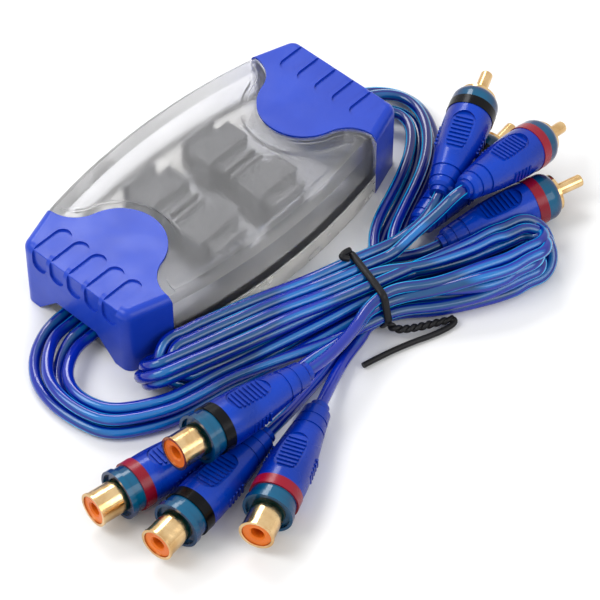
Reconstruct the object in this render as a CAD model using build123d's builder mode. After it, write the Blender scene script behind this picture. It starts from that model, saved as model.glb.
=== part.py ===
# Ground loop isolator: a small bowed case with four cords to plugs and four cords to sockets.
# Millimetres. The origin is under the middle of the case, +X runs along the case and +Z is up.
import math
import os

from build123d import *

os.makedirs("parts", exist_ok=True)

# Case
case_length = 97.0
case_height = 20.6
end_width = 35.5
shoulder_width = 43.5
middle_width = 51.5
corner_round = 3.0
shell_wall = 1.8
seam_height = 6.8
seam_bevel = 0.35
bottom_bevel = 0.6
top_bevel = 2.1
panel_border = 2.3
panel_step = 0.5
fit_gap = 0.1

# End caps
cap_wall = 1.6
cap_side = 12.0
cap_edge_round = 2.3
lobe_reach = 27.5
lobe_radius = 12.0
neck_radius = 9.0
notch_height = 6.6
notch_top_width = 13.7
notch_foot_width = 26.6
grip_pads = 5
pad_pitch = 6.0
pad_width = 4.8
pad_reach_top = 10.5
pad_reach_down = 6.6
pad_depth = 0.6

# Circuit board, its posts and the case screws
board_end_space = 17.5
board_width = 31.0
board_thickness = 1.6
board_gap = 0.2
post_height = 1.9
post_radius = 2.2
post_inset = 3.0
boss_radius = 3.0
boss_inset = 9.5
boss_y = 12.5
boss_gap = 0.2
screw_radius = 1.3
screw_gap = 0.15
screw_head_radius = 2.5
screw_head_height = 1.6
screw_recess = 0.3
screw_length = 12.0
screw_tip = 1.0
screw_slot = 0.7
screw_slot_depth = 0.7

# Transformers
transformer_pitch_x = 21.0
transformer_pitch_y = 17.0
core_length = 14.0
core_width = 7.0
core_roof_gap = 0.3
coil_length = 9.6
coil_width = 13.6
coil_inset = 1.45
coil_round = 1.6
flange_length = 11.0
flange_inset = 0.85
flange_thickness = 0.9
lug_count = 4
lug_pitch = 3.2
lug_size = 0.9
lug_height = 3.2
lug_gap = 0.2

# Solder joints
joint_radius = 1.1
joint_height = 0.8
joint_inset = 2.0

# Cords
cord_diameter = 3.0
cord_gap = 0.3
cord_count = 4
cord_exit_height = 3.6
bend_share = 0.45

# Sockets and plugs, measured along their axis from the front
connector_length = 42.0
barrel_length = 7.1
barrel_depth = 12.0
barrel_radius = 4.15
barrel_wall = 0.5
rim_radius = 4.35
rim_length = 0.5
insulator_recess = 0.35
socket_bore_radius = 1.65
socket_bore_depth = 7.5
socket_bore_mouth = 0.4
collar_radius = 5.75
collar_length = 4.1
collar_face = 1.5
collar_lip_radius = 6.25
collar_lip_length = 1.5
collar_cup_radius = 5.5
collar_cup_depth = 0.8
plug_collar_radius = 6.1
plug_collar_length = 4.1
band_radius = 6.2
band_width = 2.8
core_radius = 5.0
pin_radius = 1.6
pin_reach = 8.0
pin_depth = 13.0
pin_root_radius = 1.3
pin_step_gap = 0.3
pin_round = 0.6
shell_radius = 4.7
shell_reach = 0.9
shell_thickness = 0.5
plug_face_recess = 0.9
dome_length = 2.4
dome_radius = 5.0
grip_front_radius = 6.0
grip_waist_radius = 5.3
grip_waist = 12.0
grip_neck_radius = 4.35
grip_neck = 18.5
grip_tail_radius = 3.4
tail_round = 0.7
boot_radius = 2.4
boot_length = 1.4
ring_groove_width = 0.6
ring_groove_depth = 0.35
ring_grooves = (7.0, 10.3)
thumb_pad_middle = 8.6
thumb_pad_length = 12.4
thumb_pad_width = 6.2
thumb_pad_depth = 0.75
thumb_rib_count = 8
thumb_rib_pitch = 1.25
thumb_rib_width = 0.55
thumb_rib_height = 0.5
side_rib_count = 5
side_rib_pitch = 1.3
side_rib_width = 0.6
side_rib_length = 2.6
side_rib_height = 0.4

# Each connector's front centre, the turn of its axis about +Z and its fall towards the tail
sockets = {
    "socket_1": ((-67.8, -52.9, 17.1), -4.5, 6.0),
    "socket_2": ((-86.8, -44.9, 6.8), -7.6, 2.5),
    "socket_3": ((-83.8, -62.6, 6.8), 6.4, 2.5),
    "socket_4": ((-66.3, -77.4, 6.8), 22.3, 2.5),
}
plugs = {
    "plug_1": ((73.3, -26.6, 19.3), 204.1, 3.8),
    "plug_2": ((78.3, -48.0, 11.3), 181.9, -12.8),
    "plug_3": ((70.7, -60.9, 6.8), 162.5, 2.5),
    "plug_4": ((73.0, -36.2, 6.8), 185.5, 2.5),
}

# The hank of cords, in a frame at its tie: x along the cords, y away from the sockets
hank_origin = (6.5, -46.0)
hank_turn = -17.2
hank_height = 12.4
hank_left_tip = (-62.5, 3.6)
hank_left_corners = ((-57.5, 9.4), (-57.5, -2.0))
hank_rear = 11.8
hank_rear_left = (-25.0, 9.4)
hank_rear_middle = -10.0
hank_step = -38.0
hank_lead = 5.5
hank_step_front = -8.4
hank_face = 8.0
hank_face_front = 2.2
hank_front = -9.8
loop_rear = ((22.0, 0.8), (36.0, -0.9), (45.5, -3.0))
loop_tip = (50.0, -7.2)
loop_front = ((45.5, -11.5), (39.5, -14.6), (31.0, -16.5), (22.0, -15.0), (12.0, -11.8))
loop_start = 2.5
loop_hole = ((21.5, -8.2), (37.5, -9.6))
loop_hole_width = 2.0

# Twist tie
tie_thickness = 0.9
tie_width = 2.2
tie_round = 3.0
tie_gap = 0.15
twist_radius = 1.0
twist_tail_radius = 0.8
twist_route = [(3.75, -54.9, 3.2), (3.25, -57.5, 3.0), (8.0, -60.2, 2.0), (12.8, -62.4, 1.3), (17.2, -64.8, 1.0)]
twist_tail_route = [
    (17.9, -65.6, 0.9), (12.0, -64.8, 0.8), (4.5, -61.8, 0.8), (-2.5, -59.6, 0.8), (-8.5, -58.2, 0.8)
]

# Cord routes from the caps to the hank: points outside the case, then the point (x, y, z) on the hank
left_cap_routes = [
    [(-55.0, 4.6, 3.0), (-61.8, 1.6, 1.8), (-66.7, -4.3, 1.5), (-68.8, -12.2, 1.5), (-68.4, -20.6, 1.5),
     (-66.4, -28.0, 1.5), (-60.1, -33.2, 1.5), (-51.8, -37.3, 1.5), (-43.5, -38.6, 1.5)],
    [(-54.6, 1.2, 4.2), (-60.2, -1.9, 4.7), (-65.4, -7.2, 4.6), (-67.3, -13.8, 4.6), (-67.1, -20.6, 4.6),
     (-65.0, -27.4, 4.6), (-58.9, -32.2, 4.6), (-51.2, -36.3, 4.6), (-43.4, -38.1, 4.6)],
    [(-53.6, -1.9, 2.8), (-58.6, -4.0, 1.8), (-63.6, -8.2, 1.5), (-65.6, -14.2, 1.5), (-65.4, -20.4, 1.5),
     (-63.4, -26.6, 1.5), (-58.0, -30.8, 1.5), (-50.7, -34.3, 1.5), (-42.6, -35.5, 1.5)],
    [(-52.6, -5.1, 3.9), (-57.4, -6.9, 4.5), (-62.0, -10.4, 4.6), (-64.1, -15.0, 4.6), (-64.0, -19.9, 4.6),
     (-62.0, -25.4, 4.6), (-56.8, -29.6, 4.6), (-50.0, -33.4, 4.6), (-42.5, -35.1, 4.6)],
]
left_hank_points = [(-6.75, 1.5), (-6.45, 4.6), (-3.65, 1.5), (-3.35, 4.6)]
right_cap_routes = [
    [(55.0, 4.7, 3.0), (61.4, 2.4, 1.8), (65.6, -2.8, 1.5), (66.4, -9.4, 1.5), (64.0, -15.8, 1.5),
     (59.6, -21.8, 1.5), (53.0, -26.8, 1.5), (45.2, -30.6, 1.5), (37.0, -33.8, 1.5), (28.8, -37.4, 1.5),
     (22.3, -41.2, 1.5)],
    [(54.4, 1.2, 4.2), (59.6, -1.4, 4.7), (63.4, -6.0, 4.6), (63.6, -11.4, 4.6), (60.8, -17.2, 4.6),
     (55.8, -22.4, 4.6), (49.4, -26.8, 4.6), (42.0, -30.2, 4.6), (34.2, -33.2, 4.6), (26.8, -36.4, 4.6),
     (22.0, -40.2, 4.5)],
    [(53.4, -1.9, 2.8), (58.0, -3.8, 1.8), (61.2, -7.6, 1.5), (61.4, -12.4, 1.5), (58.2, -17.6, 1.5),
     (52.4, -22.2, 1.5), (45.8, -26.0, 1.5), (38.6, -29.0, 1.5), (31.0, -32.0, 1.5), (24.2, -34.8, 1.5)],
    [(52.4, -5.2, 3.9), (56.4, -6.9, 4.5), (58.6, -10.4, 4.6), (57.4, -14.8, 4.6), (53.6, -18.8, 4.6),
     (48.2, -22.4, 4.6), (42.0, -25.4, 4.6), (35.4, -28.0, 4.6), (28.6, -30.4, 4.6), (22.4, -33.6, 4.6)],
]
right_hank_points = [(5.4, 1.5), (6.6, 4.4), (9.1, 1.5), (10.2, 4.5)]

# Cord routes from the hank to the connectors: the point on the hank, then points on the way
plug_hank_points = [(7.2, 10.3), (4.1, 10.3), (5.65, 7.5), (8.75, 7.5)]
plug_routes = [
    [(22.0, -43.0, 10.4), (28.5, -45.0, 13.4)],
    [(20.0, -45.4, 11.8), (25.0, -46.8, 15.0), (30.0, -48.4, 18.2)],
    [(20.6, -44.9, 6.4)],
    [(22.9, -41.6, 7.6)],
]
plug_leads = [3.0, 3.0, 5.0, 4.0]
socket_hank_points = [(-2.8, -8.6, 9.4), (-13.0, -8.4, 4.7), (-12.0, -8.0, 1.6), (-5.0, -8.2, 1.6)]
socket_routes = [
    [(-6.2, -54.7, 9.9), (-14.0, -55.7, 11.4)],
    [(-16.2, -50.1, 4.7), (-24.6, -49.5, 4.6), (-33.0, -50.1, 4.7)],
    [(-18.0, -53.3, 1.6), (-26.5, -54.9, 2.2), (-33.4, -56.5, 3.6)],
    [(-9.0, -53.6, 1.6), (-16.2, -56.3, 2.8)],
]
socket_leads = [4.0, 4.0, 4.0, 4.0]
inner_fan = 1.15
inner_wave = 0.2
inner_run = 5.0
outer_run = 1.0


# Plan shapes of the case

half_length = case_length / 2
shoulder_x = half_length - cap_side
lobe_tip = half_length - lobe_reach
lobe_centre = lobe_tip + lobe_radius
neck_centre_x = shoulder_x - neck_radius
neck_centre_y = math.sqrt((lobe_radius + neck_radius) ** 2 - (lobe_centre - neck_centre_x) ** 2)
beyond = middle_width


def case_plan(inset=0.0):
    """Outline of the case from above: straight ends, slanted cap sides and bowed long sides."""
    with BuildSketch() as plan:
        with BuildLine():
            for side in (1, -1):
                ThreePointArc(
                    (-shoulder_x * side, shoulder_width / 2 * side),
                    (0, middle_width / 2 * side),
                    (shoulder_x * side, shoulder_width / 2 * side),
                )
                Polyline(
                    (shoulder_x * side, shoulder_width / 2 * side),
                    (half_length * side, end_width / 2 * side),
                    (half_length * side, -end_width / 2 * side),
                    (shoulder_x * side, -shoulder_width / 2 * side),
                )
        make_face()
        ends = plan.vertices().group_by(Axis.X)
        fillet(ends[0] + ends[-1], corner_round)
        if inset:
            offset(amount=-inset, kind=Kind.INTERSECTION)
    return plan.sketch


def cap_plan(grow=0.0):
    """Region of the right-hand cap from above: a lobed edge, and everything beyond it towards the end."""
    outer = lobe_radius + grow
    inner = neck_radius - grow
    reach_x = neck_centre_x + inner
    along = (lobe_centre - neck_centre_x) / (lobe_radius + neck_radius)
    meet_x = lobe_centre - outer * along
    meet_y = outer * neck_centre_y / (lobe_radius + neck_radius)
    mid_angle = math.atan2(meet_y - neck_centre_y, meet_x - neck_centre_x) / 2
    mid_x = neck_centre_x + inner * math.cos(mid_angle)
    mid_y = neck_centre_y + inner * math.sin(mid_angle)
    with BuildSketch() as plan:
        with BuildLine():
            ThreePointArc((meet_x, meet_y), (lobe_centre - outer, 0), (meet_x, -meet_y))
            for side in (1, -1):
                ThreePointArc(
                    (meet_x, meet_y * side), (mid_x, mid_y * side), (reach_x, neck_centre_y * side)
                )
                Line((reach_x, neck_centre_y * side), (reach_x, beyond * side))
                Line((reach_x, beyond * side), (case_length, beyond * side))
            Line((case_length, beyond), (case_length, -beyond))
        make_face()
    return plan.sketch


# Case shells

core_inset = cap_wall + fit_gap
core_top = case_height - core_inset
cavity_inset = core_inset + shell_wall
roof_height = core_top - shell_wall
board_bottom = shell_wall + post_height
board_top = board_bottom + board_thickness
board_length = case_length - 2 * board_end_space
core_height = roof_height - board_top - core_roof_gap
coil_height = core_height - 2 * coil_inset
flange_height = core_height - 2 * flange_inset
boss_x = half_length - boss_inset
cord_pitch = cord_diameter + cord_gap
cord_exits = [(index - (cord_count - 1) / 2) * cord_pitch for index in range(cord_count)]
bosses = [(x, y) for x in (-boss_x, boss_x) for y in (-boss_y, boss_y)]
screw_seat = screw_recess + screw_head_height


def cut_cap_space(low, high, grow):
    """Cut the space of both caps out of the part being built, between two heights."""
    for plane in (Plane.XY, Plane.XY.rotated((0, 0, 180))):
        extrude(plane.offset(low) * cap_plan(grow), amount=high - low, mode=Mode.SUBTRACT)


with BuildPart() as case_core:
    with BuildSketch():
        add(case_plan(core_inset))
    extrude(amount=core_top)

with BuildPart() as top_shell:
    with BuildSketch(Plane.XY.offset(seam_height)):
        add(case_plan())
    extrude(amount=case_height - seam_height)
    chamfer(top_shell.faces().sort_by(Axis.Z)[-1].edges(), top_bevel)
    cut_cap_space(seam_height, case_height, fit_gap)
    cut_cap_space(case_height - panel_step, case_height, panel_border)
    add(case_core.part)
    with BuildSketch():
        add(case_plan())
    extrude(amount=seam_height, mode=Mode.SUBTRACT)
    with BuildSketch(Plane.XY.offset(seam_height)):
        add(case_plan(cavity_inset))
    extrude(amount=roof_height - seam_height, mode=Mode.SUBTRACT)
    with BuildSketch(Plane.XY.offset(seam_height)):
        add(case_plan(cavity_inset + shell_wall))
        add(cap_plan(panel_border + shell_wall), mode=Mode.SUBTRACT)
        add(cap_plan(panel_border + shell_wall).rotate(Axis.Z, 180), mode=Mode.SUBTRACT)
    extrude(amount=case_height - shell_wall - seam_height, mode=Mode.SUBTRACT)
    with BuildSketch(Plane.XY.offset(seam_height)):
        with Locations(*bosses):
            Circle(boss_radius)
            Circle(screw_radius + fit_gap / 2, mode=Mode.SUBTRACT)
    extrude(amount=roof_height - seam_height)
top_shell.part.label = "top_shell"
export_step(top_shell.part, "parts/top_shell.step")

with BuildPart() as bottom_shell:
    with BuildSketch():
        add(case_plan())
    extrude(amount=seam_height)
    chamfer(bottom_shell.faces().sort_by(Axis.Z)[-1].edges(), seam_bevel)
    chamfer(bottom_shell.faces().sort_by(Axis.Z)[0].edges(), bottom_bevel)
    cut_cap_space(0, seam_height, fit_gap)
    with BuildSketch():
        add(case_plan(core_inset))
    extrude(amount=seam_height)
    with BuildSketch(Plane.XY.offset(shell_wall)):
        add(case_plan(cavity_inset))
    extrude(amount=seam_height - shell_wall, mode=Mode.SUBTRACT)
    with BuildSketch(Plane.XY.offset(shell_wall)):
        with GridLocations(board_length - 2 * post_inset, board_width - 2 * post_inset, 2, 2):
            Circle(post_radius)
    extrude(amount=post_height)
    with BuildSketch(Plane.XY.offset(shell_wall)):
        with Locations(*bosses):
            Circle(boss_radius)
    extrude(amount=seam_height - boss_gap - shell_wall)
    with Locations(*[Location((x, y, 0), (180, 0, 0)) for x, y in bosses]):
        CounterBoreHole(screw_radius + screw_gap, screw_head_radius + screw_gap, screw_seat)
    with BuildSketch(Plane.YZ):
        with Locations(*[(y, cord_exit_height) for y in cord_exits]):
            Circle(cord_diameter / 2 + cord_gap / 4)
    extrude(amount=half_length, both=True, mode=Mode.SUBTRACT)
bottom_shell.part.label = "bottom_shell"
export_step(bottom_shell.part, "parts/bottom_shell.step")

# End caps

with BuildPart() as right_cap:
    with BuildSketch():
        add(case_plan())
    extrude(amount=case_height)
    fillet(right_cap.faces().sort_by(Axis.Z)[-1].edges(), cap_edge_round)
    with BuildSketch():
        add(cap_plan())
    extrude(amount=case_height, mode=Mode.INTERSECT)
    with BuildSketch():
        add(case_plan(cap_wall))
    extrude(amount=case_height - cap_wall, mode=Mode.SUBTRACT)
    with BuildSketch(Plane.YZ):
        Trapezoid(
            notch_foot_width,
            notch_height,
            math.degrees(math.atan2(notch_height, (notch_foot_width - notch_top_width) / 2)),
            align=(Align.CENTER, Align.MIN),
        )
    extrude(amount=case_length, mode=Mode.SUBTRACT)
    with BuildSketch(Plane.XY.offset(case_height)):
        with Locations((half_length, 0)):
            with GridLocations(1, pad_pitch, 1, grip_pads):
                SlotOverall(2 * pad_reach_top, pad_width)
    extrude(amount=-pad_depth, mode=Mode.SUBTRACT)
    with BuildSketch(Plane.YZ.offset(half_length)):
        with Locations((0, case_height)):
            with GridLocations(pad_pitch, 1, grip_pads, 1):
                SlotOverall(2 * pad_reach_down, pad_width, rotation=90)
    extrude(amount=-pad_depth, mode=Mode.SUBTRACT)
right_cap.part.label = "right_cap"
export_step(right_cap.part, "parts/right_cap.step")

left_cap = right_cap.part.rotate(Axis.Z, 180)
left_cap.label = "left_cap"
export_step(left_cap, "parts/left_cap.step")

# Case screws

with BuildPart() as case_screws:
    with BuildSketch(Plane.XY.offset(screw_recess)):
        with Locations(*bosses):
            Circle(screw_head_radius)
    extrude(amount=screw_head_height)
    with BuildSketch(Plane.XY.offset(screw_recess)):
        with Locations(*bosses):
            Circle(screw_radius)
    extrude(amount=screw_length)
    tips = case_screws.faces().group_by(Axis.Z)[-1].edges()
    chamfer(tips, screw_tip, screw_tip / 2)
    with BuildSketch(Plane.XY.offset(screw_recess)):
        with Locations(*bosses):
            Rectangle(screw_slot, screw_head_radius * 1.4)
            Rectangle(screw_head_radius * 1.4, screw_slot)
    extrude(amount=screw_slot_depth, mode=Mode.SUBTRACT)
case_screws.part.label = "case_screws"
export_step(case_screws.part, "parts/case_screws.step")

# Circuit board and what is soldered to it

with BuildPart() as circuit_board:
    with BuildSketch(Plane.XY.offset(board_bottom)):
        Rectangle(board_length, board_width)
    extrude(amount=board_thickness)
    with BuildSketch(Plane.XY.offset(board_top)):
        with Locations(*[(side * (board_length / 2 - joint_inset), y)
                         for side in (-1, 1) for y in cord_exits]):
            Circle(joint_radius)
    extrude(amount=joint_height, taper=35)
circuit_board.part.label = "circuit_board"
export_step(circuit_board.part, "parts/circuit_board.step")

transformer_places = [
    (x * transformer_pitch_x / 2, y * transformer_pitch_y / 2) for y in (1, -1) for x in (-1, 1)
]
for number, (x, y) in enumerate(transformer_places, start=1):
    base = Plane((x, y, board_top))
    coil_end = Plane(origin=(x, y - coil_width / 2, board_top + core_height / 2), x_dir=(1, 0, 0),
                     z_dir=(0, 1, 0))
    with BuildPart() as transformer:
        with BuildSketch(base):
            Rectangle(core_length, core_width)
        extrude(amount=core_height)
        with BuildSketch(coil_end):
            RectangleRounded(coil_length, coil_height, coil_round)
        extrude(amount=coil_width)
        with BuildSketch(base.offset(flange_inset)):
            with GridLocations(1, coil_width + flange_thickness, 1, 2):
                Rectangle(flange_length, flange_thickness)
        extrude(amount=flange_height)
        with BuildSketch(base.offset(lug_gap)):
            with GridLocations(lug_pitch, coil_width + flange_thickness, lug_count, 2):
                Rectangle(lug_size, lug_size * 1.6)
        extrude(amount=lug_height)
    transformer.part.label = f"transformer_{number}"
    export_step(transformer.part, f"parts/transformer_{number}.step")

# Sockets and plugs, built along +Z from their front end and then laid in place

grip_socket_start = barrel_length + collar_length + band_width
grip_plug_start = shell_reach + pin_reach + plug_collar_length + band_width


def lay(part, name, place):
    """Move a finished connector piece to its place and write it."""
    piece = part.moved(place.location)
    piece.label = name
    export_step(piece, f"parts/{name}.step")


def axis_plane(front, turn, fall):
    """Plane at a connector's front: z along its axis towards the tail, y upwards."""
    turn = math.radians(turn)
    fall = math.radians(fall)
    direction = (math.cos(turn) * math.cos(fall), math.sin(turn) * math.cos(fall), -math.sin(fall))
    return Plane(origin=front, x_dir=(-math.sin(turn), math.cos(turn), 0), z_dir=direction)


def ring(low, high, outer, inner):
    """Plain ring or disc along +Z."""
    with BuildPart() as part:
        with BuildSketch(Plane.XY.offset(low)):
            Circle(outer)
            if inner:
                Circle(inner, mode=Mode.SUBTRACT)
        extrude(amount=high - low)
    return part.part


def grip_body(start, core_start, core_outer, hole_radius, hole_end):
    """Long tapering grip with its core, thumb pads, side ribs and ring grooves."""
    waist = start + grip_waist
    neck = start + grip_neck
    boot = connector_length - boot_length
    fall_rate = (grip_waist_radius - grip_front_radius) / grip_waist
    tail_rate = (grip_tail_radius - grip_neck_radius) / (boot - neck)
    with BuildPart() as grip:
        with BuildSketch(Plane.XZ):
            with BuildLine():
                Polyline(
                    (0, connector_length),
                    (0, hole_end),
                    (hole_radius, hole_end),
                    (hole_radius, core_start),
                    (core_outer, core_start),
                    (core_outer, start),
                    (grip_front_radius, start),
                )
                Spline(
                    (grip_front_radius, start),
                    (grip_waist_radius, waist),
                    (grip_neck_radius, neck),
                    (grip_tail_radius, boot - tail_round),
                )
                Polyline(
                    (grip_tail_radius, boot - tail_round),
                    (grip_tail_radius - tail_round, boot),
                    (boot_radius, boot),
                    (boot_radius, connector_length),
                    (0, connector_length),
                )
            make_face()
        revolve(axis=Axis.Z)
        for place in ring_grooves:
            radius = grip_neck_radius + (place + start + grip_waist - neck) * tail_rate
            with BuildSketch(Plane.XY.offset(start + grip_waist + place)):
                Circle(grip_front_radius)
                Circle(radius - ring_groove_depth, mode=Mode.SUBTRACT)
            extrude(amount=ring_groove_width, mode=Mode.SUBTRACT)
        middle = start + thumb_pad_middle
        surface = grip_front_radius + fall_rate * thumb_pad_middle
        for side in (1, -1):
            floor = Plane(
                origin=(0, side * (surface - thumb_pad_depth), middle),
                x_dir=(0, side * fall_rate, 1),
                z_dir=(0, side, -fall_rate),
            )
            with BuildSketch(floor):
                SlotOverall(thumb_pad_length, thumb_pad_width)
            extrude(amount=grip_front_radius, mode=Mode.SUBTRACT)
            with BuildSketch(floor):
                with GridLocations(thumb_rib_pitch, 1, thumb_rib_count, 1):
                    Rectangle(thumb_rib_width, thumb_pad_width)
                SlotOverall(
                    thumb_pad_length - thumb_rib_pitch, thumb_pad_width - thumb_rib_pitch, mode=Mode.INTERSECT
                )
            extrude(amount=thumb_rib_height)
            flank = Plane(
                origin=(side * (surface - side_rib_height), 0, middle),
                x_dir=(side * fall_rate, 0, 1),
                z_dir=(side, 0, -fall_rate),
            )
            with BuildSketch(flank):
                with GridLocations(side_rib_pitch, 1, side_rib_count, 1):
                    Rectangle(side_rib_width, side_rib_length)
            extrude(amount=2 * side_rib_height)
    return grip.part


with BuildPart() as socket_barrel:
    add(ring(0, barrel_depth, barrel_radius, barrel_radius - barrel_wall))
    add(ring(0, rim_length, rim_radius, barrel_radius - barrel_wall))

insulator_radius = barrel_radius - barrel_wall - fit_gap / 2
with BuildPart() as socket_insulator:
    add(ring(insulator_recess, barrel_depth, insulator_radius, 0))
    with BuildSketch(Plane.XY.offset(insulator_recess)):
        Circle(socket_bore_radius)
    extrude(amount=socket_bore_depth, mode=Mode.SUBTRACT)
    mouth = socket_insulator.faces().sort_by(Axis.Z)[0].edges().sort_by(SortBy.RADIUS)[0]
    chamfer(mouth, socket_bore_mouth)

collar_end = barrel_length + collar_length
with BuildPart() as socket_collar:
    add(ring(barrel_length, collar_end, collar_radius, core_radius + fit_gap / 2))
    add(ring(barrel_length, barrel_length + collar_lip_length, collar_lip_radius, core_radius + fit_gap / 2))
    add(ring(barrel_length, barrel_length + collar_face, collar_radius, barrel_radius + fit_gap / 2))
    with BuildSketch(Plane.XY.offset(barrel_length)):
        Circle(collar_cup_radius)
    extrude(amount=collar_cup_depth, mode=Mode.SUBTRACT)

with BuildPart() as socket_band:
    add(ring(collar_end, grip_socket_start, band_radius, core_radius + fit_gap / 2))

socket_grip = grip_body(
    grip_socket_start,
    barrel_length + collar_face + fit_gap / 2,
    core_radius,
    barrel_radius + fit_gap / 2,
    barrel_depth + fit_gap,
)

shell_front = pin_reach
plug_face = shell_front + plug_face_recess
with BuildPart() as plug_pin:
    add(ring(0, plug_face - pin_step_gap, pin_radius, 0))
    fillet(plug_pin.edges().sort_by(Axis.Z)[0], pin_round)
    add(ring(plug_face - pin_step_gap, pin_depth, pin_root_radius, 0))

plug_body = shell_front + shell_reach
plug_collar_end = plug_body + plug_collar_length
shell_inner = shell_radius - shell_thickness
with BuildPart() as plug_shell:
    add(ring(shell_front, grip_plug_start - fit_gap, shell_radius, shell_inner))

with BuildPart() as plug_collar:
    with BuildSketch(Plane.XZ):
        with BuildLine():
            Polyline(
                (dome_radius, plug_body),
                (shell_radius + fit_gap / 2, plug_body),
                (shell_radius + fit_gap / 2, plug_collar_end),
                (plug_collar_radius, plug_collar_end),
                (plug_collar_radius, plug_body + dome_length),
            )
            TangentArc(
                (plug_collar_radius, plug_body + dome_length), (dome_radius, plug_body), tangent=(0, -1)
            )
        make_face()
    revolve(axis=Axis.Z)

with BuildPart() as plug_band:
    add(ring(plug_collar_end, grip_plug_start, band_radius, shell_radius + fit_gap / 2))

plug_grip = grip_body(
    grip_plug_start,
    plug_face,
    shell_inner - fit_gap / 2,
    pin_root_radius + fit_gap / 2,
    pin_depth + fit_gap,
)

socket_pieces = {
    "barrel": socket_barrel.part,
    "insulator": socket_insulator.part,
    "collar": socket_collar.part,
    "band": socket_band.part,
    "grip": socket_grip,
}
plug_pieces = {
    "pin": plug_pin.part,
    "shell": plug_shell.part,
    "collar": plug_collar.part,
    "band": plug_band.part,
    "grip": plug_grip,
}
socket_places = {name: axis_plane(*values) for name, values in sockets.items()}
plug_places = {name: axis_plane(*values) for name, values in plugs.items()}
for places, pieces in ((socket_places, socket_pieces), (plug_places, plug_pieces)):
    for name, place in places.items():
        for piece, solid in pieces.items():
            lay(solid, f"{name}_{piece}", place)

# Hank of cords

hank = Plane((*hank_origin, 0)).rotated((0, 0, hank_turn))
tie_middle = (hank_rear + hank_front) / 2
tie_plane = Plane(origin=hank.from_local_coords((0, tie_middle, hank_height / 2)), x_dir=hank.y_dir,
                  z_dir=hank.x_dir)
with BuildPart() as cord_hank:
    with BuildSketch(hank):
        with BuildLine():
            ThreePointArc(hank_left_corners[1], hank_left_tip, hank_left_corners[0])
            Polyline(
                hank_left_corners[0],
                hank_rear_left,
                (hank_rear_middle, hank_rear),
                (hank_face, hank_rear),
                (hank_face, hank_face_front),
            )
            Spline((hank_face, hank_face_front), *loop_rear, loop_tip, *loop_front, (loop_start, hank_front))
            Polyline(
                (loop_start, hank_front),
                (-loop_start, hank_front),
                (hank_step, hank_step_front),
                (hank_step, hank_left_corners[1][1]),
                hank_left_corners[1],
            )
        make_face()
        slit = Line(*loop_hole, mode=Mode.PRIVATE)
        with Locations(slit @ 0.5):
            SlotOverall(
                slit.length, loop_hole_width, rotation=slit.tangent_angle_at(0.5), mode=Mode.SUBTRACT
            )
    extrude(amount=hank_height)
    with BuildSketch(tie_plane):
        RectangleRounded(hank_rear - hank_front + 2, hank_height + 2, tie_round)
        RectangleRounded(
            hank_rear - hank_front - 2 * (tie_thickness + tie_gap),
            hank_height - 2 * (tie_thickness + tie_gap),
            tie_round,
            mode=Mode.SUBTRACT,
        )
    extrude(amount=tie_width / 2 + tie_gap, both=True, mode=Mode.SUBTRACT)
cord_hank.part.label = "cord_hank"
export_step(cord_hank.part, "parts/cord_hank.step")

# Twist tie


def wire_path(route, radius):
    """Line through a route with rounded corners, each as wide as its shorter run allows."""
    steps = [Vector(*b) - Vector(*a) for a, b in zip(route, route[1:])]
    radii = []
    for before, after in zip(steps, steps[1:]):
        half_turn = math.radians(before.get_angle(after)) / 2
        radii.append(bend_share * min(before.length, after.length) / math.tan(half_turn))
    print(f"{radius * 2:.1f} wide, bends", [round(value, 1) for value in radii])
    return route, radii


def tube(route, radius):
    """Round tube along a route."""
    points, radii = wire_path(route, radius)
    with BuildPart() as part:
        with BuildLine() as path:
            FilletPolyline(*points, radius=radii)
        with BuildSketch(path.line ^ 0):
            Circle(radius)
        sweep()
    length = path.wire().length
    print(f"length {length:.1f}, volume share {part.part.volume / (length * math.pi * radius**2):.3f}")
    return part.part


with BuildPart() as twist_tie:
    with BuildSketch(tie_plane):
        RectangleRounded(hank_rear - hank_front, hank_height, tie_round)
        RectangleRounded(
            hank_rear - hank_front - 2 * tie_thickness,
            hank_height - 2 * tie_thickness,
            tie_round - tie_thickness,
            mode=Mode.SUBTRACT,
        )
    extrude(amount=tie_width / 2, both=True)
    add(tube(twist_route, twist_radius))
    add(tube(twist_tail_route, twist_tail_radius))
twist_tie.part.label = "twist_tie"
export_step(twist_tie.part, "parts/twist_tie.step")

# Cords: each runs from the board through the end wall to the hank, and from the hank to its connector


def inner_points(side, y):
    """Points of a cord inside the case, from the edge of the board through the end wall."""
    start = board_length / 2 + board_gap
    return [
        (side * start, y * inner_fan, cord_exit_height - inner_wave),
        (side * (start + inner_run), y * inner_fan, cord_exit_height + inner_wave),
        (side * (start + 2 * inner_run), y, cord_exit_height),
        (side * (half_length + outer_run), y, cord_exit_height),
    ]


def along(place, distance):
    """Point on a connector's axis."""
    return tuple(place.origin + place.z_dir * distance)


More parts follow.
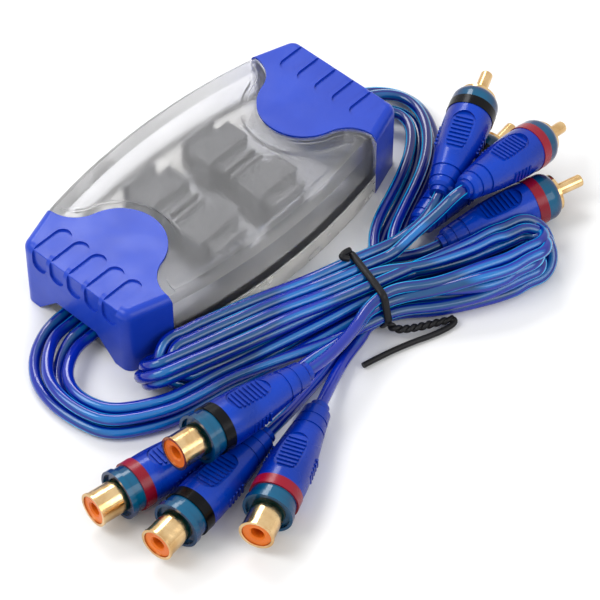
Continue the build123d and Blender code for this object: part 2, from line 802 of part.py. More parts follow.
exit_order = (3, 2, 1, 0)
for index in range(cord_count):
    number = index + 1
    exit_y = cord_exits[exit_order[index]]
    plug_place = plug_places[f"plug_{number}"]
    socket_place = socket_places[f"socket_{number}"]
    with BuildPart() as plug_cord:
        y, z = left_hank_points[index]
        route = inner_points(-1, exit_y) + left_cap_routes[index]
        route += [tuple(hank.from_local_coords((x, y, z))) for x in (hank_step - hank_lead, hank_step)]
        add(tube(route, cord_diameter / 2))
        y, z = plug_hank_points[index]
        route = [tuple(hank.from_local_coords((hank_face, y, z)))] + plug_routes[index]
        route += [along(plug_place, connector_length + plug_leads[index]), along(plug_place, connector_length)]
        add(tube(route, cord_diameter / 2))
    plug_cord.part.label = f"plug_cord_{number}"
    export_step(plug_cord.part, f"parts/plug_cord_{number}.step")
    with BuildPart() as socket_cord:
        y, z = right_hank_points[index]
        route = inner_points(1, exit_y) + right_cap_routes[index]
        add(tube(route + [tuple(hank.from_local_coords((hank_face, y, z)))], cord_diameter / 2))
        route = [tuple(hank.from_local_coords(socket_hank_points[index]))] + socket_routes[index]
        route += [
            along(socket_place, connector_length + socket_leads[index]), along(socket_place, connector_length)
        ]
        add(tube(route, cord_diameter / 2))
    socket_cord.part.label = f"socket_cord_{number}"
    export_step(socket_cord.part, f"parts/socket_cord_{number}.step")
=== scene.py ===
import math

import bpy
from mathutils import Matrix, Vector


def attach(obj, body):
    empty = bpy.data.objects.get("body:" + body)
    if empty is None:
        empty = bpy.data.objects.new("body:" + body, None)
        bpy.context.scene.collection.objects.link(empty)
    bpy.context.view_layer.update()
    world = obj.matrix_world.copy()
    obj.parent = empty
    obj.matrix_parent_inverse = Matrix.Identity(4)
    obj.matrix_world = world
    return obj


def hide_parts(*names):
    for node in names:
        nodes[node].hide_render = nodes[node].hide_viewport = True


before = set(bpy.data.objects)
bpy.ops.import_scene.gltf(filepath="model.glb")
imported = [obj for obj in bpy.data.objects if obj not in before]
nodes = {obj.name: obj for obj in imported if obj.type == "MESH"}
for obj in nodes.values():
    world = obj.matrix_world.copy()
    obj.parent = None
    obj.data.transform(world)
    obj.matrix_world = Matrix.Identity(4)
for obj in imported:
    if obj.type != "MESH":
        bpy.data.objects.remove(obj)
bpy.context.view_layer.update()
scene = bpy.context.scene
MM = 0.001


# Shader maths

# Places of the colours among a mix node's sockets
MIX_COLORS_IN = (6, 7)
MIX_COLOR_OUT = 2
# Ranges of a noise's value over which a look goes from one end to the other
WIDE = (0.3, 0.7)
MIDDLE = (0.35, 0.65)
NARROW = (0.42, 0.58)
# Depth of moulded plastic's grain, in metres
FINE_GRAIN = 0.00002


class Value:
    """A socket of a material's node tree, on which plain arithmetic builds more nodes."""

    def __init__(self, tree, socket):
        self.tree = tree
        self.socket = socket

    def math(self, operation, *others):
        node = self.tree.nodes.new("ShaderNodeMath")
        node.operation = operation
        for place, value in enumerate((self, *others)):
            if isinstance(value, Value):
                self.tree.links.new(value.socket, node.inputs[place])
            else:
                node.inputs[place].default_value = value
        return Value(self.tree, node.outputs[0])

    def __mul__(self, other):
        return self.math("MULTIPLY", other)

    def between(self, low, high, new_low=0.0, new_high=1.0):
        """Smooth step from one range to another."""
        node = self.tree.nodes.new("ShaderNodeMapRange")
        node.interpolation_type = "SMOOTHSTEP"
        self.tree.links.new(self.socket, node.inputs["Value"])
        limits = {"From Min": low, "From Max": high, "To Min": new_low, "To Max": new_high}
        for name, value in limits.items():
            node.inputs[name].default_value = value
        return Value(self.tree, node.outputs["Result"])


class Look:
    """A material with one Principled shader."""

    def __init__(self, name, color, rough, **fixed):
        self.material = bpy.data.materials.new(name)
        self.material.use_nodes = True
        self.tree = self.material.node_tree
        self.shader = self.tree.nodes["Principled BSDF"]
        self.shader.inputs["Base Color"].default_value = (*color, 1)
        self.shader.inputs["Roughness"].default_value = rough
        for key, value in fixed.items():
            self.shader.inputs[key.replace("_", " ")].default_value = value

    def node(self, kind, output, inputs=None, **settings):
        node = self.tree.nodes.new(kind)
        for key, value in settings.items():
            setattr(node, key, value)
        for key, value in (inputs or {}).items():
            if isinstance(value, Value):
                self.tree.links.new(value.socket, node.inputs[key])
            else:
                node.inputs[key].default_value = value
        return Value(self.tree, node.outputs[output])

    def place(self):
        return self.node("ShaderNodeTexCoord", "Object")

    def noise(self, scale, detail=3.0, stretch=(1, 1, 1)):
        where = self.node("ShaderNodeMapping", "Vector", {"Vector": self.place(), "Scale": stretch})
        return self.node(
            "ShaderNodeTexNoise", "Fac", {"Vector": where, "Scale": scale, "Detail": detail})

    def facing(self):
        """0 where the surface faces the eye, 1 where it is seen edge on."""
        return self.node("ShaderNodeLayerWeight", "Facing", {"Blend": 0.5})

    def mix(self, factor, first, second):
        """Colour between two others; each is a colour or a Value."""
        node = self.tree.nodes.new("ShaderNodeMix")
        node.data_type = "RGBA"
        self.tree.links.new(factor.socket, node.inputs["Factor"])
        for place, value in zip(MIX_COLORS_IN, (first, second)):
            if isinstance(value, Value):
                self.tree.links.new(value.socket, node.inputs[place])
            else:
                node.inputs[place].default_value = (*value, 1)
        return Value(self.tree, node.outputs[MIX_COLOR_OUT])

    def feed(self, name, value):
        self.tree.links.new(value.socket, self.shader.inputs[name])

    def uneven_gloss(self, scale, low, high, detail=3.0):
        self.feed("Roughness", self.noise(scale, detail).between(*WIDE, low, high))

    def bump(self, height, distance):
        self.feed("Normal", self.node(
            "ShaderNodeBump", "Normal", {"Height": height, "Distance": distance, "Strength": 1.0}))


def shade(color, share):
    """The same colour, darker."""
    return tuple(share * value for value in color)


def moulded(name, color, dark, rough, grain=900.0, depth=FINE_GRAIN, **fixed):
    """Moulded plastic: a faint cloud in its colour, uneven gloss and a fine grain."""
    look = Look(name, color, rough, **fixed)
    look.feed("Base Color", look.mix(look.noise(60.0).between(*MIDDLE), dark, color))
    look.uneven_gloss(140.0, rough * 0.85, rough * 1.2)
    look.bump(look.noise(grain, 2.0), depth)
    return look.material


def clear_jacket(name, middle, deep, painted_glint, rough, **fixed):
    """Tinted clear plastic: a core, deep colour round it and a painted highlight, a glint line near
    the rim.
    """
    look = Look(name, middle, rough, **fixed)
    rim = look.facing()
    cloud = look.noise(45.0, 1.0, (1, 1, 2)).between(*NARROW)
    core = look.mix(cloud, middle, shade(middle, 0.4))
    round_core = look.mix(look.noise(25.0, 1.0).between(*MIDDLE), deep, shade(deep, 0.5))
    tint = look.mix(rim.between(0.05, 0.24), core, round_core)
    # Painted highlight: a thin glint line part way out towards the silhouette, in the glint colour
    line = rim.between(0.44, 0.56) * rim.between(0.6, 0.72, 1.0, 0.0)
    line = line * look.noise(28.0, 1.0).between(*NARROW)
    look.feed("Base Color", look.mix(line, tint, painted_glint))
    look.uneven_gloss(200.0, rough * 0.8, rough * 1.3)
    look.bump(look.noise(500.0, 2.0), FINE_GRAIN)
    return look.material


def clouded(name, middle, edge, rough, **fixed):
    """Tinted translucent plastic: its colour deepens where it is seen edge on."""
    look = Look(name, middle, rough, **fixed)
    inner = look.mix(look.noise(70.0).between(*MIDDLE), middle, shade(middle, 0.7))
    look.feed("Base Color", look.mix(look.facing().between(0.15, 0.7), inner, edge))
    look.uneven_gloss(200.0, rough * 0.8, rough * 1.3)
    look.bump(look.noise(600.0, 2.0), FINE_GRAIN)
    return look.material


def plated_gold():
    """Thin gold plate: warm patches and fine uneven gloss."""
    look = Look("plated_gold", (0.7, 0.46, 0.22), 0.16, Metallic=1.0)
    cloud = look.noise(220.0, 4.0).between(*WIDE)
    look.feed("Base Color", look.mix(cloud, (0.56, 0.34, 0.14), (0.76, 0.54, 0.28)))
    look.uneven_gloss(600.0, 0.12, 0.26, 4.0)
    look.bump(look.noise(1800.0, 2.0), 0.00001)
    return look.material


def transformer_dark():
    """Stacked dark sheets: fine level lines in two dark greys."""
    look = Look("transformer_dark", (0.01, 0.01, 0.011), 0.6, Specular_IOR_Level=0.2)
    lines = look.node(
        "ShaderNodeTexWave", "Fac", {"Vector": look.place(), "Scale": 900.0, "Distortion": 0.3},
        bands_direction="Z")
    look.feed("Base Color", look.mix(lines, (0.1, 0.1, 0.105), (0.2, 0.2, 0.205)))
    look.bump(lines, 0.00005)
    return look.material


cap_blue = moulded(
    "cap_blue", (0.011, 0.054, 0.5), (0.008, 0.044, 0.44), 0.34,
    Coat_Weight=0.08, Coat_Roughness=0.08, Specular_IOR_Level=0.26)
# The clear shells touch face to face at the seam: a low refractive index keeps it from going dark
frosted = moulded(
    "frosted_shell", (0.95, 0.95, 0.96), (0.93, 0.93, 0.94), 0.38, 1500.0, 0.00001,
    Transmission_Weight=0.95, IOR=1.13)
pale_tray = moulded(
    "pale_tray", (0.96, 0.95, 0.93), (0.92, 0.91, 0.89), 0.3,
    Transmission_Weight=0.97, IOR=1.13)
steel = moulded("screw_steel", (0.55, 0.55, 0.56), (0.42, 0.42, 0.43), 0.3, Metallic=1.0)
board_grey = moulded("board_grey", (0.55, 0.55, 0.57), (0.47, 0.47, 0.49), 0.4)
# Cord jacket; its third colour is the painted highlight of the glint line
jacket = clear_jacket(
    "cord_jacket", (0.004, 0.17, 0.52), (0.0, 0.016, 0.34), (0.01, 0.5, 0.9), 0.12,
    Coat_Weight=0.5, Coat_Roughness=0.04, Specular_IOR_Level=0.3)
grip_blue = clouded(
    "grip_blue", (0.0, 0.046, 0.47), (0.0, 0.012, 0.25), 0.26,
    Coat_Weight=0.15, Coat_Roughness=0.08, Specular_IOR_Level=0.2)
collar_teal = clouded(
    "collar_teal", (0.0, 0.1, 0.21), (0.0, 0.022, 0.1), 0.16,
    Coat_Weight=0.3, Coat_Roughness=0.05, Specular_IOR_Level=0.2)
amber = moulded(
    "insulator_amber", (0.84, 0.19, 0.012), (0.7, 0.14, 0.008), 0.28, Specular_IOR_Level=0.3)
tie_black = moulded(
    "tie_black", (0.012, 0.012, 0.014), (0.007, 0.007, 0.008), 0.3, 700.0, 0.00004,
    Specular_IOR_Level=0.15)
band_black = moulded(
    "band_black", (0.004, 0.004, 0.005), (0.002, 0.002, 0.003), 0.22, Specular_IOR_Level=0.12)
band_red = moulded(
    "band_red", (0.3, 0.003, 0.02), (0.22, 0.002, 0.015), 0.25, Specular_IOR_Level=0.3)
gold = plated_gold()
dark_block = transformer_dark()

RED_BANDS = ("socket_2", "socket_4", "plug_2", "plug_3")
# By a node's whole name or by its last word; the cords take the jacket
looks = {
    "top_shell": frosted, "bottom_shell": pale_tray, "case_screws": steel,
    "circuit_board": board_grey, "cap": cap_blue, "barrel": gold, "pin": gold, "shell": gold,
    "insulator": amber, "collar": collar_teal, "grip": grip_blue,
}


def look_of(name):
    """Material of a CAD node."""
    family = name.rsplit("_", 1)[-1]
    if name.startswith("transformer"):
        return dark_block
    if family == "band":
        return band_red if name.startswith(RED_BANDS) else band_black
    return looks.get(name, looks.get(family, jacket))


for name, node in nodes.items():
    node.data.materials.clear()
    node.data.materials.append(look_of(name))


# Camera at the photograph's angle

CAMERA_PLACE = (-0.3568, -0.3614, 0.5602)
CAMERA_TURN = 42.94
CAMERA_DIP = 49.22


def heading(turn, dip):
    """Direction that points a given way round and down, both in degrees."""
    turn = math.radians(turn)
    dip = math.radians(dip)
    return math.cos(turn) * math.cos(dip), math.sin(turn) * math.cos(dip), -math.sin(dip)


camera_data = bpy.data.cameras.new("camera")
camera_data.lens = 179.2
camera_data.sensor_width = 36.0
camera_data.clip_start = 0.01
camera = bpy.data.objects.new("camera", camera_data)
scene.collection.objects.link(camera)
forward = Vector(heading(CAMERA_TURN, CAMERA_DIP))
turn = math.radians(CAMERA_TURN)
right = Vector((math.sin(turn), -math.cos(turn), 0))
up = right.cross(forward)
camera.matrix_world = Matrix.Translation(CAMERA_PLACE) @ Matrix(
    (right, up, -forward)).transposed().to_4x4()
scene.camera = camera


# Cords: one line each, from the board through the case's end and the hank to a connector.
# All lengths from here to the end of the tie are in millimetres.

# Inside the case: its half length, the board's end, a cord's steps from there to just past the
# case's end, how far the four fan out at the board, and how far they wave up and down
HALF_CASE = 48.5
BOARD_END = 31.2
INNER_RUN = 5.0
OUTER_RUN = 1.0
INNER_FAN = 1.15
INNER_WAVE = 0.2
# The row of four holes in each end
EXIT_HEIGHT = 3.6
EXIT_PITCH = 3.3
CORD_WIDTH = 3.0
# The hank's own frame has its origin at the tie and u along the hank, to the right
HANK_ORIGIN = (6.5, -46.0)
HANK_TURN = math.radians(-17.2)
# Stations u: where a cord from the left cap enters, its lead before that, and the right face
HANK_ENTRY = -38.0
ENTRY_LEAD = 5.5
HANK_FACE = 8.0
# Reach of the tie's grip along u, and how far it lifts the strands
TIE_SPAN = 4.0
TIE_LIFT = 0.9
# How far to the rear a slanting strand shifts at the tie, for a slant of 1
SLANT_SHIFT = 0.2
CONNECTOR_LENGTH = 42.0
# A socket cord's straight run behind its connector
SOCKET_LEAD = 4.0

# y of the four holes in each end
exits = [(1.5 - index) * EXIT_PITCH for index in range(4)]
# From the caps to the hank: the plug cords on the left, the socket cords on the right
left_cap_routes = [
    [(-55.0, 4.6, 3.0), (-61.8, 1.6, 1.8), (-66.7, -4.3, 1.5), (-68.8, -12.2, 1.5),
     (-68.4, -20.6, 1.5), (-66.4, -28.0, 1.5), (-60.1, -33.2, 1.5), (-51.8, -37.3, 1.5),
     (-43.5, -38.6, 1.5)],
    [(-54.6, 1.2, 4.2), (-60.2, -1.9, 4.7), (-65.4, -7.2, 4.6), (-67.3, -13.8, 4.6),
     (-67.1, -20.6, 4.6), (-65.0, -27.4, 4.6), (-58.9, -32.2, 4.6), (-51.2, -36.3, 4.6),
     (-43.4, -38.1, 4.6)],
    [(-53.6, -1.9, 2.8), (-58.6, -4.0, 1.8), (-63.6, -8.2, 1.5), (-65.6, -14.2, 1.5),
     (-65.4, -20.4, 1.5), (-63.4, -26.6, 1.5), (-58.0, -30.8, 1.5), (-50.7, -34.3, 1.5),
     (-42.6, -35.5, 1.5)],
    [(-52.6, -5.1, 3.9), (-57.4, -6.9, 4.5), (-62.0, -10.4, 4.6), (-64.1, -15.0, 4.6),
     (-64.0, -19.9, 4.6), (-62.0, -25.4, 4.6), (-56.8, -29.6, 4.6), (-50.0, -33.4, 4.6),
     (-42.5, -35.1, 4.6)],
]
# Where those enter the hank (y, z in its frame)
left_hank_points = [(-6.75, 1.5), (-6.45, 4.6), (-3.65, 1.5), (-3.35, 4.6)]
right_cap_routes = [
    [(55.0, 4.7, 3.0), (61.4, 2.4, 1.8), (65.6, -2.8, 1.5), (66.4, -9.4, 1.5), (64.0, -15.8, 1.5),
     (59.6, -21.8, 1.5), (53.0, -26.8, 1.5), (45.2, -30.6, 1.5), (37.0, -33.8, 1.5),
     (28.8, -37.4, 1.5), (22.3, -41.2, 1.5)],
    [(54.4, 1.2, 4.2), (59.6, -1.4, 4.7), (63.4, -6.0, 4.6), (63.6, -11.4, 4.6),
     (60.8, -17.2, 4.6), (55.8, -22.4, 4.6), (49.4, -26.8, 4.6), (42.0, -30.2, 4.6),
     (34.2, -33.2, 4.6), (26.8, -36.4, 4.6), (22.0, -40.2, 4.5)],
    [(53.4, -1.9, 2.8), (58.0, -3.8, 1.8), (61.2, -7.6, 1.5), (61.4, -12.4, 1.5),
     (58.2, -17.6, 1.5), (52.4, -22.2, 1.5), (45.8, -26.0, 1.5), (38.6, -29.0, 1.5),
     (31.0, -32.0, 1.5), (24.2, -34.8, 1.5)],
    [(52.4, -5.2, 3.9), (56.4, -6.9, 4.5), (58.6, -10.4, 4.6), (57.4, -14.8, 4.6),
     (53.6, -18.8, 4.6), (48.2, -22.4, 4.6), (42.0, -25.4, 4.6), (35.4, -28.0, 4.6),
     (28.6, -30.4, 4.6), (22.4, -33.6, 4.6)],
]
right_hank_points = [(5.4, 1.5), (6.6, 4.4), (9.1, 1.5), (10.2, 4.5)]
# Where the plug cords leave it (y, z), and their way from there to the connectors
plug_hank_points = [(7.2, 10.3), (4.1, 10.3), (5.65, 7.5), (8.75, 7.5)]
plug_routes = [
    [(22.0, -43.0, 10.4), (28.5, -45.0, 13.4)],
    [(20.0, -45.4, 11.8), (25.0, -46.8, 15.0), (30.0, -48.4, 18.2)],
    [(20.6, -44.9, 6.4)],
    [(22.9, -41.6, 7.6)],
]
# A plug cord's straight run behind its connector
plug_leads = [3.0, 3.0, 5.0, 4.0]
# The socket cords' way from the hank to the connectors
socket_routes = [
    [(-6.6, -53.9, 10.2), (-14.0, -55.7, 11.4)],
    [(-16.2, -50.1, 4.7), (-24.6, -49.5, 4.6), (-33.0, -50.1, 4.7)],
    [(-18.0, -53.3, 1.6), (-26.5, -54.9, 2.2), (-33.4, -56.5, 3.6)],
    [(-9.0, -53.6, 1.6), (-16.2, -56.3, 2.8)],
]
# Each connector: the place of its front, and which way its axis points and falls, in degrees
sockets = [
    ((-67.8, -52.9, 17.1), -4.5, 6.0),
    ((-86.8, -44.9, 6.8), -7.6, 2.5),
    ((-83.8, -62.6, 6.8), 6.4, 2.5),
    ((-66.3, -77.4, 6.8), 22.3, 2.5),
]
plugs = [
    ((73.3, -26.6, 19.3), 204.1, 3.8),
    ((78.3, -48.0, 11.3), 181.9, -12.8),
    ((70.7, -60.9, 6.8), 162.5, 2.5),
    ((73.0, -36.2, 6.8), 185.5, 2.5),
]

# Where each cord crosses the tie on its three passes through the hank (y, z in the hank's frame)
plug_tie = [
    [(-5.2, 4.2), (-0.55, 1.5), (7.2, 9.6)],
    [(-8.3, 4.2), (1.0, 4.2), (4.1, 9.6)],
    [(-2.1, 4.2), (4.1, 4.2), (5.65, 6.9)],
    [(-3.65, 6.9), (2.55, 1.5), (8.75, 6.9)],
]
socket_tie = [
    [(5.65, 1.5), (-0.55, 6.9), (-6.4, 9.4)],
    [(7.2, 4.2), (2.55, 6.9), (-6.75, 6.9)],
    [(8.75, 1.5), (-2.1, 9.6), (-3.65, 1.5)],
    [(10.3, 4.2), (1.0, 9.6), (-6.75, 1.5)],
]
# Places in the straight left run: towards the fold and back, with the fold's tip
plug_folds = [
    ((-1.2, 1.5), (8.1, 10.35), -55.5),
    ((-1.2, 4.45), (5.0, 10.35), -53.0),
    ((1.9, 4.45), (5.0, 7.4), -50.0),
    ((1.9, 1.5), (8.1, 7.4), -52.5),
]
socket_folds = [
    ((5.0, 1.5), (-1.2, 7.4), -60.0),
    ((5.0, 4.45), (1.9, 7.4), -56.5),
    ((8.1, 1.5), (-1.2, 10.35), -61.0),
    ((8.1, 4.45), (1.9, 10.35), -59.0),
]
# Places in the right loops: on the rear leg, on the front leg, with the loop's tip
plug_loops = [
    ((-4.7, 1.5), (-11.3, 4.5), 40.0),
    ((-6.6, 4.3), (-14.2, 4.5), 43.5),
    ((-3.0, 4.4), (-11.2, 7.4), 42.0),
    ((-1.6, 1.6), (-13.8, 7.3), 44.5),
]
socket_loops = [
    ((-1.5, 7.1), (-10.6, 10.3), 46.5),
    ((-4.6, 7.3), (-13.5, 10.1), 45.5),
    ((-1.5, 10.0), (-11.4, 1.5), 48.4),
    ((-4.6, 10.3), (-14.4, 1.5), 47.2),
]
# How far each socket cord's last pass slants at the tie
socket_slants = [1.0, 0.0, 0.0, 0.0]
# The socket cords' last points in the hank's frame (u, y, z), to the left of the tie
socket_ends = [
    [],
    [(-7.5, -9.0, 6.9), (-14.0, -10.6, 5.8)],
    [(-10.0, -7.4, 1.6), (-15.5, -10.6, 1.6)],
    [(-7.0, -9.0, 1.6)],
]

# Wander of a strand, sideways and up: its size, its pace along u and its shift with the seed
WANDER = ((0.3, 0.16, 2.1), (0.18, 0.21, 1.3))
# Corners of a half turn, in radii back from its tip and out from its middle
TURN_CORNERS = [(1.45, 0.95), (0.586, 1), (0, 0.414)]
# Where a plug cord nears its place at the tie for the first time, and how far it has come
LEFT_ENTRY = ((-25, 0.4), (-14, 0.9))
# Stations at which a plug cord leaves the tie and the hank for the last time
PLUG_LEAVE = 3.0
PLUG_FACE = 9.5
# A left run: its nearest stations, how far a strand has spread there, and the far stations
LEFT_OUT = -14
LEFT_BACK = -13
LEFT_SPREAD = 0.55
LEFT_FAR = (-24, -33)
# A left fold: its straight run and its least width
FOLD_RUN = 11
FOLD_WIDTH = 7.2
# A right loop: its nearest stations, the spread there, and the stations back from its tip
RIGHT_REAR = 13
RIGHT_FRONT = 13.5
REAR_SPREAD = 0.6
FRONT_SPREAD = 0.52
LEG_START = 20
LEG_END = 13


def on_hank(u, y, z):
    """Point of the hank's frame, in the object's frame, in millimetres."""
    return (
        HANK_ORIGIN[0] + u * math.cos(HANK_TURN) - y * math.sin(HANK_TURN),
        HANK_ORIGIN[1] + u * math.sin(HANK_TURN) + y * math.cos(HANK_TURN),
        z,
    )


def between(first, second, share):
    return tuple(a + (b - a) * share for a, b in zip(first, second))


def wave(u, seed):
    """Small natural wander of a strand along the hank, sideways and up."""
    return [size * math.sin(pace * u + shift * seed) for size, pace, shift in WANDER]


def strand(u, place, seed):
    """Point of a strand at a station along the hank, a little off its neat place."""
    side, rise = wave(u, seed)
    return on_hank(u, place[0] + side, max(CORD_WIDTH / 2, place[1] + rise))


def at_tie(place, direction, slant=0.0):
    """The two points of a strand at the tie, lifted clear of the wire under the hank.

    A slant moves the left one to the front and the right one to the rear.
    """
    return [on_hank(u, place[0] + slant * (SLANT_SHIFT + u / TIE_SPAN), place[1] + TIE_LIFT)
            for u in (-TIE_SPAN * direction, TIE_SPAN * direction)]


def half_turn(tip, side, first, second):
    """Round end of a fold as corners of a smooth line, nearly half a circle.

    side is 1 on the right and -1 on the left.
    """
    middle = between(first, second, 0.5)
    radius = math.dist(first, middle)
    into = [on_hank(tip - side * back * radius, *between(middle, first, out))
            for back, out in TURN_CORNERS]
    away = [on_hank(tip - side * back * radius, *between(middle, second, out))
            for back, out in TURN_CORNERS[::-1]]
    return into + away


def left_fold(tie_in, out, back, tip, tie_out, seed):
    """Left run from the tie out to the fold and back to the tie."""
    middle = between(out, back, 0.5)
    reach = max(1.0, FOLD_WIDTH / math.dist(out, back))
    corners = [between(middle, place, reach) for place in (out, back)]
    corners = [(y, max(CORD_WIDTH / 2, z)) for y, z in corners]
    points = [strand(LEFT_OUT, between(tie_in, out, LEFT_SPREAD), seed)]
    points += [strand(u, out, seed) for u in LEFT_FAR]
    points += [on_hank(tip + FOLD_RUN, *out)]
    points += half_turn(tip, -1, *corners)
    points += [on_hank(tip + FOLD_RUN, *back)]
    points += [strand(u, back, seed + 0.7) for u in LEFT_FAR[::-1]]
    points += [strand(LEFT_BACK, between(tie_out, back, LEFT_SPREAD), seed)]
    return points


def right_loop(tie_rear, rear, front, tip, tie_front, seed):
    """Right loop from the tie along the rear leg, round its end and back along the front leg.

    The legs belly out by some tenths of a millimetre before the loop's end.
    """
    y_rear, z_rear = rear
    y_front, z_front = front
    points = [strand(RIGHT_REAR, between(tie_rear, rear, REAR_SPREAD), seed)]
    points += [strand(tip - LEG_START, rear, seed)]
    points += [strand(tip - LEG_END, (y_rear + 0.5, z_rear), seed)]
    points += half_turn(tip, 1, (y_rear + 0.2, z_rear), (y_front - 0.1, z_front))
    points += [strand(tip - LEG_END, (y_front - 0.6, z_front), seed + 0.4)]
    points += [strand(tip - LEG_START, (y_front + 0.1, z_front), seed)]
    points += [strand(RIGHT_FRONT, between(tie_front, front, FRONT_SPREAD), seed)]
    return points


def axis_point(values, distance):
    """Point on a connector's axis, measured from its front."""
    front, turn, fall = values
    return tuple(a + b * distance for a, b in zip(front, heading(turn, fall)))


def inner_points(side, y):
    """Points of a cord inside the case, from the board's edge through the end wall."""
    return [
        (side * BOARD_END, y * INNER_FAN, EXIT_HEIGHT - INNER_WAVE),
        (side * (BOARD_END + INNER_RUN), y * INNER_FAN, EXIT_HEIGHT + INNER_WAVE),
        (side * (BOARD_END + 2 * INNER_RUN), y, EXIT_HEIGHT),
        (side * (HALF_CASE + OUTER_RUN), y, EXIT_HEIGHT),
    ]


def curve_piece(name, points, radius, material):
    """One smooth open line with a round section, its control points in millimetres."""
    curve = bpy.data.curves.new(name, "CURVE")
    curve.dimensions = "3D"
    curve.resolution_u = 6
    curve.bevel_depth = 1.0
    curve.bevel_resolution = 3
    curve.use_fill_caps = True
    spline = curve.splines.new("NURBS")
    spline.points.add(len(points) - 1)
    for point, place in zip(spline.points, points):
        point.co = (*(value * MM for value in place), 1)
        point.radius = radius * MM
    spline.order_u = 3
    spline.use_endpoint_u = True
    curve.materials.append(material)
    piece = bpy.data.objects.new(name, curve)
    scene.collection.objects.link(piece)
    return piece


def line_points(piece):
    """Points of a curve's own centreline, as Blender draws it."""
    depth = piece.data.bevel_depth
    piece.data.bevel_depth = 0
    bpy.context.view_layer.update()
    drawn = piece.evaluated_get(bpy.context.evaluated_depsgraph_get())
    mesh = bpy.data.meshes.new_from_object(drawn)
    points = [vertex.co.copy() for vertex in mesh.vertices]
    piece.data.bevel_depth = depth
    bpy.data.meshes.remove(mesh)
    return points


def line_length(points):
    return sum((b - a).length for a, b in zip(points, points[1:]))


for index in range(4):
    number = index + 1
    first, second, third = plug_tie[index]
    entry = left_hank_points[index]
    route = inner_points(-1, exits[index]) + left_cap_routes[index]
    route += [on_hank(u, *entry) for u in (HANK_ENTRY - ENTRY_LEAD, HANK_ENTRY)]
    route += [strand(u, between(entry, first, share), index) for u, share in LEFT_ENTRY]
    route += at_tie(first, 1)
    rear, front, tip = plug_loops[index]
    route += reversed(right_loop(second, rear, front, tip, first, index))
    route += at_tie(second, -1)
    out, back, tip = plug_folds[index]
    route += left_fold(second, out, back, tip, third, index + 0.5)
    route += at_tie(third, 1)[:1]
    route += [on_hank(PLUG_LEAVE, third[0], third[1] + TIE_LIFT)]
    route += [on_hank(PLUG_FACE, *plug_hank_points[index])]
    route += plug_routes[index]
    route += [axis_point(plugs[index], CONNECTOR_LENGTH + reach)
              for reach in (plug_leads[index], 0)]
    cord = curve_piece(f"plug_cord_line_{number}", route, CORD_WIDTH / 2, jacket)
    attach(cord, "root")
    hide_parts(f"plug_cord_{number}", "cord_hank")
    length = line_length(line_points(cord))
    print("cord", cord.name, round(length, 3))
    [value * MM for value in route[0]]

    first, second, third = socket_tie[index]
    route = inner_points(1, exits[index]) + right_cap_routes[index]
    route += [on_hank(HANK_FACE, *right_hank_points[index])]
    route += at_tie(first, -1)[1:]
    out, back, tip = socket_folds[index]
    route += left_fold(first, out, back, tip, second, index + 2.2)
    route += at_tie(second, 1)
    rear, front, tip = socket_loops[index]
    route += right_loop(second, rear, front, tip, third, index + 1.4)
    route += at_tie(third, -1, socket_slants[index])
    route += [on_hank(*place) for place in socket_ends[index]]
    route += socket_routes[index]
    route += [axis_point(sockets[index], CONNECTOR_LENGTH + reach) for reach in (SOCKET_LEAD, 0)]
    cord = curve_piece(f"socket_cord_line_{number}", route, CORD_WIDTH / 2, jacket)
    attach(cord, "root")
    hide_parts(f"socket_cord_{number}", "cord_hank")
    length = line_length(line_points(cord))
    print("cord", cord.name, round(length, 3))
    [value * MM for value in route[0]]


# Twist tie: a wire wrapped tightly round the strands, its ends twisted together, one left long

TIE_THICKNESS = 0.8
TIE_WIDTH = 1.9
# Gap between the strands and the tie, and the tie's lowest point
TIE_GAP = 0.03
TIE_LOWEST = 0.02
# The band's section: share of its thickness from the inside out, and half widths along u
TIE_SECTION = [(0, -1), (0, 1), (0.45, 1), (0.9, 0.72), (1, 0), (0.9, -0.72), (0.45, -1)]
BAND_STEPS = 96
RIM_STEPS = 24
TWIST_TURNS = 4.5
TWIST_RADIUS = 0.55


def hull(points):
    """Convex outline of flat points, anticlockwise."""
    points = sorted(set(points))

    def side(sequence):
        chain = []
        for p in sequence:
            while len(chain) > 1 and (
                (chain[-1][0] - chain[-2][0]) * (p[1] - chain[-2][1])
                - (chain[-1][1] - chain[-2][1]) * (p[0] - chain[-2][0])
            ) <= 0:
                chain.pop()
            chain.append(p)
        return chain[:-1]

    return side(points) + side(points[::-1])


def wrapped_outline(reach):
    """Outline that lies a given distance outside all strand centres at the tie."""
    rim = []
    for passes in plug_tie + socket_tie:
        for y, z in passes:
            for step in range(RIM_STEPS):
                angle = step * math.tau / RIM_STEPS
                rim.append((round(y + reach * math.cos(angle), 4),
                            round(z + TIE_LIFT + reach * math.sin(angle), 4)))
    return hull(rim)


def even_points(outline, count):
    """The same closed outline with points at even spacing."""
    closed = outline + outline[:1]
    lengths = [math.dist(a, b) for a, b in zip(closed, closed[1:])]
    total = sum(lengths)
    points = []
    for step in range(count):
        left = total * step / count
        for start, end, length in zip(closed, closed[1:], lengths):
            if left <= length:
                points.append(between(start, end, left / length))
                break
            left -= length
    return points


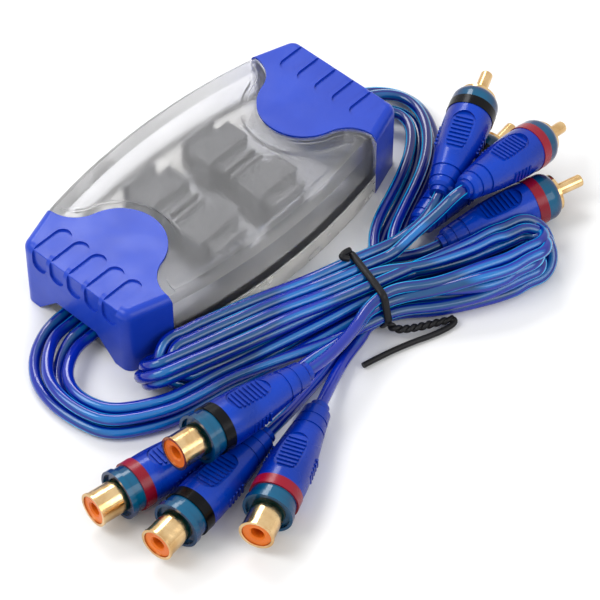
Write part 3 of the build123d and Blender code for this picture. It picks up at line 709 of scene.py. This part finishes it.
def tie_band():
    """Flat loop round the hank with softly rounded edges."""
    reach = CORD_WIDTH / 2 + TIE_GAP
    inner = even_points(wrapped_outline(reach), BAND_STEPS)
    outer = even_points(wrapped_outline(reach + TIE_THICKNESS), BAND_STEPS)
    vertices = []
    for a, b in zip(inner, outer):
        for share, side in TIE_SECTION:
            y, z = between(a, b, share)
            point = on_hank(side * TIE_WIDTH / 2, y, max(TIE_LOWEST, z))
            vertices.append([value * MM for value in point])
    size = len(TIE_SECTION)
    faces = []
    for step in range(BAND_STEPS):
        here = step * size
        there = (step + 1) % BAND_STEPS * size
        for k in range(size):
            after = (k + 1) % size
            faces.append((here + k, here + after, there + after, there + k))
    mesh = bpy.data.meshes.new("tie_band")
    mesh.from_pydata(vertices, [], faces)
    mesh.polygons.foreach_set("use_smooth", [True] * len(mesh.polygons))
    mesh.materials.append(tie_black)
    piece = bpy.data.objects.new("tie_band", mesh)
    scene.collection.objects.link(piece)
    return piece


def twisted(route, phase):
    """Centreline of one wire that winds round a route."""
    guide = curve_piece("guide", route, TWIST_RADIUS, tie_black)
    points = line_points(guide)
    bpy.data.objects.remove(guide)
    total = line_length(points)
    done = 0.0
    path = []
    for number, point in enumerate(points):
        ahead = points[min(number + 1, len(points) - 1)] - points[max(number - 1, 0)]
        side = ahead.cross(Vector((0, 0, 1))).normalized()
        rise = side.cross(ahead).normalized()
        angle = phase + math.tau * TWIST_TURNS * done / total
        offset = side * math.cos(angle) + rise * math.sin(angle)
        path.append(point / MM + offset * TWIST_RADIUS)
        if number + 1 < len(points):
            done += (points[number + 1] - point).length
    return path


twist_route = [
    (3.9, -55.0, 3.6), (3.25, -57.4, 3.2), (8.0, -60.2, 2.2), (12.8, -62.4, 1.6),
    (17.2, -64.8, 1.5),
]
tail_route = [
    (17.2, -64.8, 1.4), (17.6, -66.0, 0.9), (12.0, -64.9, 0.8), (4.5, -61.8, 0.8),
    (-2.5, -59.6, 0.8), (-8.5, -58.2, 0.8),
]
hook_route = [(6.6, -39.6, 13.1), (4.9, -38.4, 13.7), (6.6, -37.8, 13.9), (8.6, -38.2, 13.6)]
band = tie_band()
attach(band, "root")
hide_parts("twist_tie")
for name, path, width in (
    ("tie_twist_1", twisted(twist_route, 0.0), 0.6),
    ("tie_twist_2", twisted(twist_route, math.pi), 0.6),
    ("tie_tail", tail_route, 0.75),
    ("tie_hook", hook_route, 0.8),
):
    wire = curve_piece(name, path, width, tie_black)
    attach(wire, "root")
    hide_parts("twist_tie")


# Floor, light and background

def white_to_camera(tree, light, output):
    """Background that is white to the camera, also in a mirror and through clear plastic.

    All other rays see its own light.
    """
    path = tree.nodes.new("ShaderNodeLightPath")
    seen = Value(tree, path.outputs["Is Camera Ray"])
    for name in ("Is Glossy Ray", "Is Transmission Ray"):
        seen = seen.math("MAXIMUM", Value(tree, path.outputs[name]))
    white = tree.nodes.new("ShaderNodeBackground")
    white.inputs["Color"].default_value = (1, 1, 1, 1)
    mix = tree.nodes.new("ShaderNodeMixShader")
    tree.links.new(seen.socket, mix.inputs[0])
    tree.links.new(light, mix.inputs[1])
    tree.links.new(white.outputs[0], mix.inputs[2])
    tree.links.new(mix.outputs[0], output)


world = bpy.data.worlds.new("world")
scene.world = world
world.use_nodes = True
world_nodes = world.node_tree.nodes
background = world_nodes["Background"]
background.inputs["Color"].default_value = (1, 1, 1, 1)
background.inputs["Strength"].default_value = 0.6
white_to_camera(
    world.node_tree, background.outputs[0], world_nodes["World Output"].inputs["Surface"])

# Half the floor's width, and its level: just under the case, so that the two don't coincide
FLOOR_REACH = 3
FLOOR_LEVEL = -0.0002

floor_look = Look("floor", (0.9, 0.9, 0.9), 0.9)
floor_mesh = bpy.data.meshes.new("floor")
floor_corners = [
    (x * FLOOR_REACH, y * FLOOR_REACH, FLOOR_LEVEL)
    for x, y in ((-1, -1), (1, -1), (1, 1), (-1, 1))]
floor_mesh.from_pydata(floor_corners, [], [(0, 1, 2, 3)])
floor_mesh.materials.append(floor_look.material)
floor = bpy.data.objects.new("floor", floor_mesh)
scene.collection.objects.link(floor)


def soft_lamp(name, place, target, size, power):
    lamp = bpy.data.lights.new(name, "AREA")
    lamp.shape = "RECTANGLE"
    lamp.size, lamp.size_y = size
    lamp.energy = power
    piece = bpy.data.objects.new(name, lamp)
    scene.collection.objects.link(piece)
    piece.location = place
    piece.rotation_euler = (Vector(target) - Vector(place)).to_track_quat("-Z", "Y").to_euler()


soft_lamp("key", (-0.5, 0.35, 0.8), (0, -0.02, 0), (0.5, 0.5), 4.2)
soft_lamp("rear", (0.28, 0.62, 0.72), (-0.01, 0.0, 0.01), (0.5, 0.3), 4.2)
soft_lamp("fill", (0.1, -0.8, 0.6), (0, -0.02, 0), (0.7, 0.5), 2.9)

scene.view_settings.view_transform = "Standard"

bpy.context.view_layer.update()
